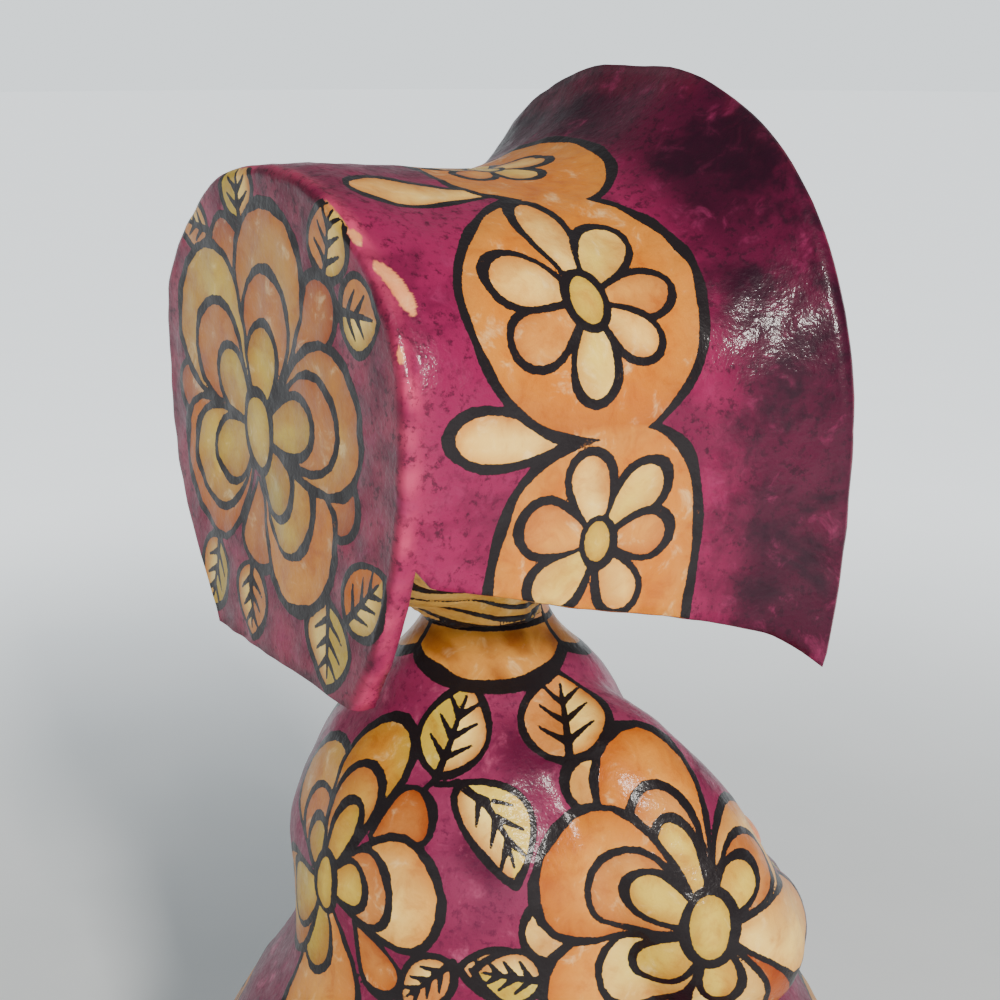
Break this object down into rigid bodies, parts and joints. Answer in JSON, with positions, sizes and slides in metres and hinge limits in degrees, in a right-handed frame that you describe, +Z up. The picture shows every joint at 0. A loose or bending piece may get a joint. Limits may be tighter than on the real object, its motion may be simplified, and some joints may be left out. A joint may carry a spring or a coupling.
{
  "type": "papier-mache figure",
  "caption": "Standing papier-mache figure of a woman in a deep flared card bonnet and bell skirt, hands folded in front, on a low round base.",
  "frame": {"origin": "middle of the base's flat underside", "axes": "+Z up through the neck; the figure looks along -Y, its left hand side is +X"},
  "size_m": [0.22, 0.22, 0.3815],
  "materials": {
    "painted_figure": "gloss",
    "painted_bonnet": "gloss"
  },
  "bodies": {
    "root": {"figure": "painted_figure", "bonnet": "painted_bonnet"}
  },
  "joints": []
}
